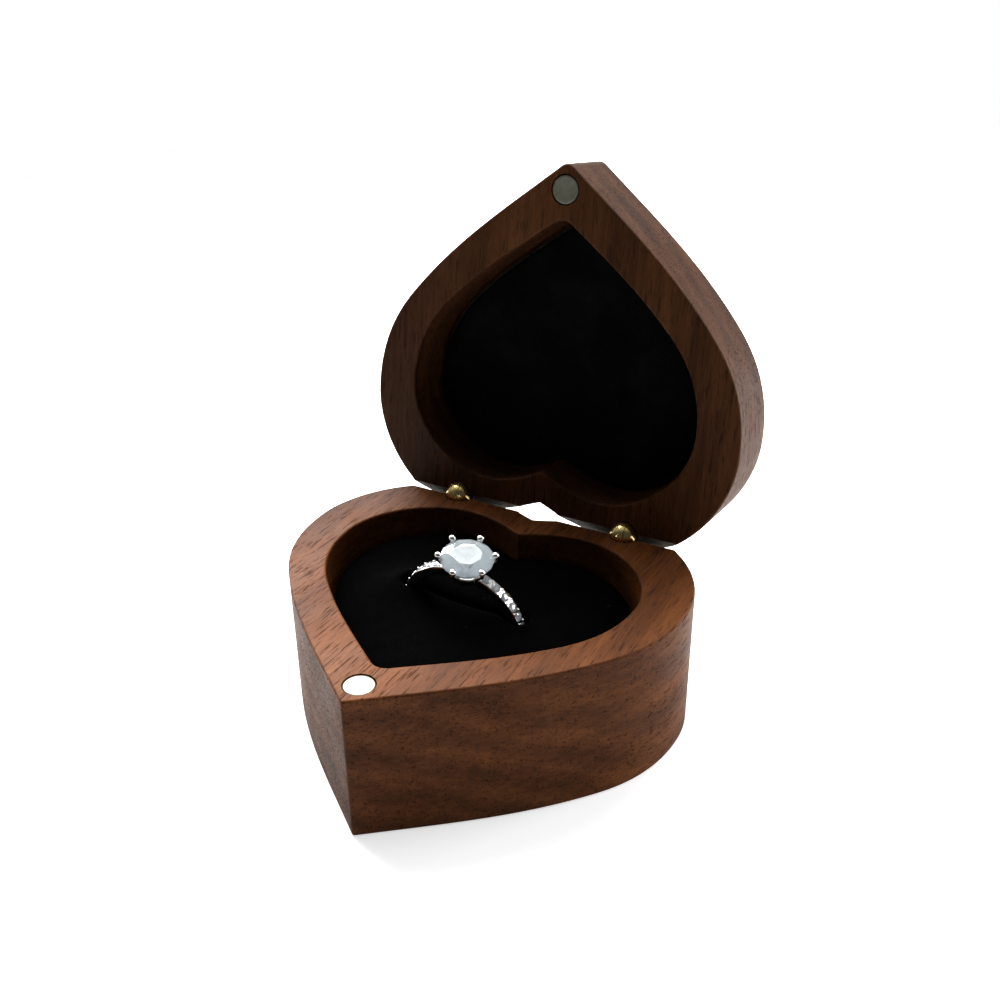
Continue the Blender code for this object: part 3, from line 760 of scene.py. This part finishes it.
def shoulder_matrix(side, angle_deg):
    turn = side * math.radians(90.0 - angle_deg)
    return Matrix.Rotation(turn, 4, "Y") @ Matrix.Translation((0, 0, RING_OUTER))


def ring_shank():
    """The band: rounded inside, flat outside, with a shallow channel along each paved shoulder."""
    steps = 288
    w, inner, outer = BAND_HALF_WIDTH, RING_INNER, RING_OUTER
    channel_end = SIDE_STONE_FIRST_DEG - SIDE_STONE_PITCH_DEG * (SIDE_STONE_COUNT - 0.5)
    bm = bmesh.new()
    rings = []
    for index in range(steps):
        angle = 2 * math.pi * index / steps
        height_deg = math.degrees(math.asin(math.sin(angle)))
        dip = CHANNEL_DEPTH * min(1.0, max(0.0, (height_deg - channel_end) / CHANNEL_RUNOUT_DEG))
        edge = [(w - 0.22, outer), (w - 0.08, outer - 0.05), (w, outer - 0.22), (w, outer - 0.75),
                (w - 0.02, inner + 0.32), (w - 0.12, inner + 0.12), (w - 0.32, inner + 0.02),
                (0.3, inner)]
        channel = [(0.30 - w, outer - dip), (0.0, outer - dip), (w - 0.30, outer - dip)]
        profile = edge + [(-y, r) for y, r in reversed(edge)] + channel
        rings.append([bm.verts.new((r * MM * math.cos(angle), y * MM, r * MM * math.sin(angle)))
                      for y, r in profile])
    count = len(rings[0])
    for index in range(steps):
        here, there = rings[index], rings[(index + 1) % steps]
        for k in range(count):
            after = (k + 1) % count
            bm.faces.new((here[k], here[after], there[after], there[k]))
    band = new_object("band", bm)
    band = boolean(band, cylinder("head gap", HEAD_CUP_RADIUS + 0.02, 0, 12, 48))
    seats = []
    for side in (-1, 1):
        for angle in side_stone_angles():
            seat = cylinder("seat", SIDE_STONE_RADIUS + 0.06, -SEAT_DEPTH, 1.0, 24)
            seats.append(place(seat, shoulder_matrix(side, angle)))
    band = boolean(band, joined("seats", seats))
    return place(band, ring_matrix())


def shoulder_beads(side):
    """The small beads raised at the corners between the side stones."""
    beads = []
    half_pitch = SIDE_STONE_PITCH_DEG / 2
    for angle in [a - half_pitch for a in side_stone_angles()]:
        for across in (-PAVE_BEAD_ACROSS, PAVE_BEAD_ACROSS):
            bead = sphere("bead", PAVE_BEAD_RADIUS, 16, 10)
            bead = place(bead, Matrix.Translation((0, across, 0.0)))
            beads.append(place(bead, shoulder_matrix(side, angle)))
    return place(joined("beads", beads), ring_matrix())


def prong(turn_deg):
    """A bent wire that rises from the cup, thins towards its end and closes over the stone."""
    knots = [PRONG_FOOT, (2.9, 10.24), PRONG_KNEE, (4.06, 11.7), PRONG_TIP]
    radii = [0.40, 0.36, 0.33, 0.33, 0.31]
    path, sizes = [], []
    for index in range(len(knots) - 1):
        for step in range(4):
            t = step / 4
            path.append(Vector(knots[index]).lerp(Vector(knots[index + 1]), t))
            sizes.append(radii[index] + (radii[index + 1] - radii[index]) * t)
    path.append(Vector(knots[-1]))
    sizes.append(radii[-1])
    for _ in range(2):
        inner = [(a + b * 2 + c) / 4 for a, b, c in zip(path, path[1:], path[2:])]
        path = [path[0]] + inner + [path[-1]]
    bm = bmesh.new()
    loops = []
    for index, point in enumerate(path):
        ahead = path[min(index + 1, len(path) - 1)] - path[max(index - 1, 0)]
        ahead.normalize()
        outward = Vector((ahead.y, -ahead.x))
        loop = []
        for k in range(PRONG_SIDES):
            a = 2 * math.pi * k / PRONG_SIDES
            shift = outward * math.cos(a) * sizes[index]
            loop.append(bm.verts.new(((point.x + shift.x) * MM, math.sin(a) * sizes[index] * MM,
                                      (point.y + shift.y) * MM)))
        loops.append(loop)
    for here, there in zip(loops, loops[1:]):
        for k in range(PRONG_SIDES):
            after = (k + 1) % PRONG_SIDES
            bm.faces.new((here[k], here[after], there[after], there[k]))
    bm.faces.new(loops[0])
    bm.faces.new(loops[-1])
    wire = new_object("prong", bm)
    bead = sphere("bead", PRONG_BEAD_RADIUS, 24, 16)
    wire = boolean(wire, place(bead, Matrix.Translation((PRONG_TIP[0], 0, PRONG_TIP[1]))), "UNION")
    return place(wire, Matrix.Rotation(math.radians(turn_deg), 4, "Z"))


def ring_head():
    """The basket: a cup, one rail and six prongs notched for the stone."""
    cup = [(1.3, 9.4), (1.3, 8.2), (1.42, 8.06), (1.8, 8.08), (1.96, 8.2), (2.0, 8.4), (2.0, 9.3),
           (1.92, 9.5), (1.45, 9.5)]
    head = turned("cup", cup, 48)
    share = (RAIL_Z - PRONG_FOOT[1]) / (PRONG_KNEE[1] - PRONG_FOOT[1])
    rail_r = PRONG_FOOT[0] + share * (PRONG_KNEE[0] - PRONG_FOOT[0])
    rail = [(rail_r + RAIL_HALF_WIDTH * math.cos(a), RAIL_Z + RAIL_HALF_HEIGHT * math.sin(a))
            for a in [2 * math.pi * k / 12 for k in range(12)]]
    head = boolean(head, turned("rail", rail, 64), "UNION")
    for k in range(PRONG_COUNT):
        head = boolean(head, prong(PRONG_FIRST_DEG + k * 360 / PRONG_COUNT), "UNION")
    notch = brilliant("notch", STONE_RADIUS + 0.05)
    head = boolean(head, place(notch, Matrix.Translation((0, 0, STONE_GIRDLE_Z + 0.02))))
    return place(head, ring_matrix())


def brilliant(name, radius, table=0.56, crown=0.22, girdle=0.05, pavilion=0.86):
    """A round brilliant with its 57 facets, its girdle's top at Z 0, as a hull of their corners."""
    star, half_turn = 0.79, math.pi / 8
    low_star = 0.24
    corners = [(0.0, 0.0, -girdle - pavilion)]
    for k in range(8):
        main, between = k * 2 * half_turn, (2 * k + 1) * half_turn
        corners.append((table, main, crown))
        corners.append((star, between, crown * (1 - star * math.cos(half_turn)) / (1 - table)))
        for angle in (main, between):
            corners.append((1.0, angle, 0.0))
            corners.append((1.0, angle, -girdle))
        corners.append((low_star, between, -girdle - pavilion * (1 - low_star * math.cos(half_turn))))
    bm = bmesh.new()
    for r, angle, z in corners:
        across, along = r * math.cos(angle), r * math.sin(angle)
        bm.verts.new((across * radius * MM, along * radius * MM, z * radius * MM))
    bmesh.ops.convex_hull(bm, input=bm.verts)
    return new_object(name, bm)


# ------------------------------------------------------------ velvet, lengths in mm
# The cloth solver needs metre-sized cloth, so each pad is simulated this many times larger
SIM_SCALE = 20.0
CUSHION_SHARE = 0.972
CUSHION_ROUND = 1.3
SLIT_HALF = 1.25
SLIT_REACH = RING_OUTER + 0.6
SLIT_WARP = 4.0
LIP_HALF_NOW = SLIT_HALF - 0.4
LIP_HALF_CLOSED = 0.10
LIP_HALF_AT_BAND = BAND_HALF_WIDTH + 0.03
LIFT_CENTRE = (-9.6, 2.6)
LIFT_LEFT = 1.55
LIFT_ALONG_SLIT = 0.35
LINING_SHARE = 0.98
LINING_ABOVE_CARD = 1.2
LINING_THICKNESS = 1.0
LUMP_DEPTH = 0.05


def stuffed(obj, voxel, pressure, cap, frames=20):
    """Remeshes a closed shape and blows it up slightly as cloth, moving no point beyond cap."""
    remesh = obj.modifiers.new("remesh", "REMESH")
    remesh.mode = "VOXEL"
    remesh.voxel_size = voxel * MM
    obj = applied(obj)
    obj.data.transform(Matrix.Scale(SIM_SCALE, 4))
    before = [v.co.copy() for v in obj.data.vertices]
    cloth = obj.modifiers.new("cloth", "CLOTH")
    cloth.settings.quality = 5
    cloth.settings.use_pressure = True
    cloth.settings.uniform_pressure_force = pressure
    cloth.settings.effector_weights.gravity = 0.0
    cloth.settings.tension_stiffness = 12.0
    cloth.settings.compression_stiffness = 12.0
    cloth.settings.bending_stiffness = 0.4
    cloth.collision_settings.use_collision = False
    cloth.point_cache.frame_start = 1
    cloth.point_cache.frame_end = frames
    scene = bpy.context.scene
    for number in range(1, frames + 1):
        scene.frame_set(number)
    graph = bpy.context.evaluated_depsgraph_get()
    blown = obj.evaluated_get(graph).to_mesh()
    after = [v.co.copy() for v in blown.vertices]
    obj.modifiers.remove(cloth)
    limit = cap * MM * SIM_SCALE
    for vert, start, end in zip(obj.data.vertices, before, after):
        move = end - start
        if move.length > limit:
            move = move.normalized() * limit
        vert.co = start + move
    scene.frame_set(1)
    obj.data.transform(Matrix.Scale(1 / SIM_SCALE, 4))
    return obj


def relax(obj, rounds, factor=0.5):
    smooth = obj.modifiers.new("smooth", "SMOOTH")
    smooth.iterations = rounds
    smooth.factor = factor
    return applied(obj)


def subdivided(obj):
    modifier = obj.modifiers.new("fine", "SUBSURF")
    modifier.levels = modifier.render_levels = 1
    return applied(obj)


def nap_lumps(obj, size):
    """Raises and lowers a flat pad's pile slightly, in lumps of about the given size."""
    for vert in obj.data.vertices:
        p = vert.co / MM
        lump = noise.noise(p / size) + 0.5 * noise.noise(p / (size * 0.45))
        vert.co.z += lump * LUMP_DEPTH * MM
    return obj


def cushion():
    """The base's velvet pad: crowned, tucked at its rim, slit where the band stands in it."""
    low, high = [corner.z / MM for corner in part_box("cushion_cover")]
    pad = heart_solid("cushion", CAVITY_HEART, low + 0.3, high - 0.45, CUSHION_SHARE, 16)
    pad = soften(pad, CUSHION_ROUND, 4, 50.0)
    slit = box("slit", (-SLIT_REACH, -SLIT_HALF, -SLIT_REACH), (SLIT_REACH, SLIT_HALF, 30))
    pad = boolean(pad, place(slit, ring_matrix()))
    pad = relax(stuffed(pad, 0.75, 4.0, 0.55), 2)
    return subdivided(raise_lips(close_slit(pad)))


def close_slit(pad):
    """Draws the lips of the slit together, leaving them open only where the band passes."""
    to_ring = ring_matrix().inverted()
    from_ring = ring_matrix()
    for vert in pad.data.vertices:
        u, v, w = to_ring @ (vert.co / MM)
        across = abs(v)
        if across > SLIT_WARP or abs(u) > RING_OUTER + 2.5:
            continue
        from_band = abs(math.hypot(u, w) - (RING_INNER + RING_OUTER) / 2)
        near = max(0.0, min(1.0, (from_band - 0.9) / 1.6))
        near = near * near * (3 - 2 * near)
        wanted = LIP_HALF_AT_BAND * (1 - near) + LIP_HALF_CLOSED * near
        if across >= LIP_HALF_NOW:
            share = (across - LIP_HALF_NOW) / (SLIT_WARP - LIP_HALF_NOW)
            moved = wanted + share * (SLIT_WARP - wanted)
        else:
            moved = wanted * across / LIP_HALF_NOW
        vert.co = (from_ring @ Vector((u, math.copysign(moved, v), w))) * MM
    return pad


def raise_lips(pad):
    """Bulges the velvet along the slit, most where the band presses in at the left."""
    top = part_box("cushion_cover")[1].z / MM
    for vert in pad.data.vertices:
        x, y, z = vert.co / MM
        low_share = max(0.0, min(1.0, (z - top + 4.0) / 3.0))
        left = math.exp(-((x - LIFT_CENTRE[0]) / 4.2) ** 2 - ((y - LIFT_CENTRE[1]) / 4.8) ** 2)
        along = math.exp(-((y - LIFT_CENTRE[1]) / 3.6) ** 2) * max(0.0, 1.0 - (x / 15.0) ** 2)
        vert.co.z += (LIFT_LEFT * left + LIFT_ALONG_SLIT * along) * low_share * MM
    return pad


def lining():
    """The lid's thin velvet panel, in the base-side frame before it is opened."""
    low = BASE_HEIGHT - (LID_HEIGHT - LID_TOP) + LINING_ABOVE_CARD
    pad = heart_solid("lining", CAVITY_HEART, low, low + LINING_THICKNESS, LINING_SHARE, 16)
    pad = soften(pad, 0.35, 2, 50.0)
    pad = relax(stuffed(pad, 0.5, 3.0, 0.35), 2)
    return subdivided(pad)


# ------------------------------------------------------------ assembly
make_camera()
make_studio()

base_walnut = walnut("walnut_base", 0.0, (14.0, 0, 46.0), (0.0, 0.0, 0.0),
                     (0.74, 0.73, 0.70))
# The lid's depth darkens its walnut more than the base's: beyond the wood's own colour, this extra
# darkening is painted shade for the lid's shaded face.
lid_walnut = walnut("walnut_lid", LID_OPEN_DEG, (-22.0, 0, 58.0), (47.0, 130.0, 21.0),
                    (0.50, 0.56, 0.72))
brass = metal("brass", (0.96, 0.75, 0.32), (0.72, 0.51, 0.17), 0.16, 0.12, 0.25)
nickel = metal("nickel", (0.23, 0.228, 0.178), (0.17, 0.167, 0.13), 0.48, 0.12, 0.15)
white_gold = metal("white_gold", (0.90, 0.89, 0.87), (0.74, 0.73, 0.71), 0.10, 0.08, 0.15)
black_velvet = velvet("black_velvet", 0.0006, (0.0002, 0.0005, 0.0010))
# The lid's panel is the same black velvet as the cushion: its lighter tones and stronger sheen are
# painted light, making up for the weaker light inside the open lid.
lid_velvet = velvet("lid_velvet", 0.012, (0.0022, 0.0040, 0.0066))
black_card = card("black_card")
centre_gem = gem("centre_gem", (0.86, 0.95, 1.0), 2.0, 0.76, 0.14)
side_gem = gem("side_gem", (0.90, 0.94, 1.0), 2.0, 0.8, 0.6)

base_block = wood_block("base", OUTER_HEART, BASE_HEIGHT, BASE_FLOOR, BARREL_BASE_DEPTH)
make_piece(base_block, "base_wood", base_walnut, "base", ["base_body"])
lid_floor = BASE_HEIGHT - (LID_HEIGHT - LID_TOP)
lid_block = wood_block("lid", LID_HEART, LID_HEIGHT, lid_floor, BARREL_LID_DEPTH)
make_piece(to_open_lid(lid_block), "lid_wood", lid_walnut, "lid", ["lid_body"])
make_piece(magnet(), "base_magnet_disc", nickel, "base", ["base_magnet"])
make_piece(to_open_lid(magnet()), "lid_magnet_disc", nickel, "lid", ["lid_magnet"])
for side, label in ((-1, "left"), (1, "right")):
    hinge = label + "_hinge_"
    make_piece(fork_barrel(side), label + "_fork", brass, "base", [hinge + "base_barrel"])
    make_piece(hinge_pin(side), label + "_pin", brass, "base", [hinge + "pin"])
    make_piece(tongue_barrel(side), label + "_tongue", brass, "lid", [hinge + "lid_barrel"])

base_pad = nap_lumps(cushion(), 2.6)
make_piece(base_pad, "cushion_velvet", black_velvet, "base",
           ["cushion_cover", "cushion_foam"], 180.0)
lid_pad = to_open_lid(nap_lumps(lining(), 3.2))
make_piece(lid_pad, "lid_velvet_panel", lid_velvet, "lid", ["lid_lining"], 180.0)
for node in ("cushion_card", "lid_lining_card"):
    frame["nodes"][node].material_slots[0].material = black_card

make_piece(ring_shank(), "ring_band", white_gold, "ring", ["ring_shank"], 30.0)
make_piece(ring_head(), "ring_basket", white_gold, "ring", ["ring_head"])
stone = place(brilliant("stone", STONE_RADIUS), Matrix.Translation((0, 0, STONE_GIRDLE_Z)))
make_piece(place(stone, ring_matrix()), "centre_brilliant", centre_gem, "ring",
           ["centre_stone"], flat=True)
for side, label in ((-1, "left"), (1, "right")):
    make_piece(shoulder_beads(side), label + "_shoulder_beads", white_gold, "ring")
    for number, angle in enumerate(side_stone_angles(), 1):
        seat = shoulder_matrix(side, angle) @ Matrix.Translation((0, 0, -SIDE_STONE_SINK))
        small = place(place(brilliant("small", SIDE_STONE_RADIUS), seat), ring_matrix())
        make_piece(small, f"{label}_brilliant_{number}", side_gem, "ring",
                   [f"side_stone_{label}_{number}"], flat=True)
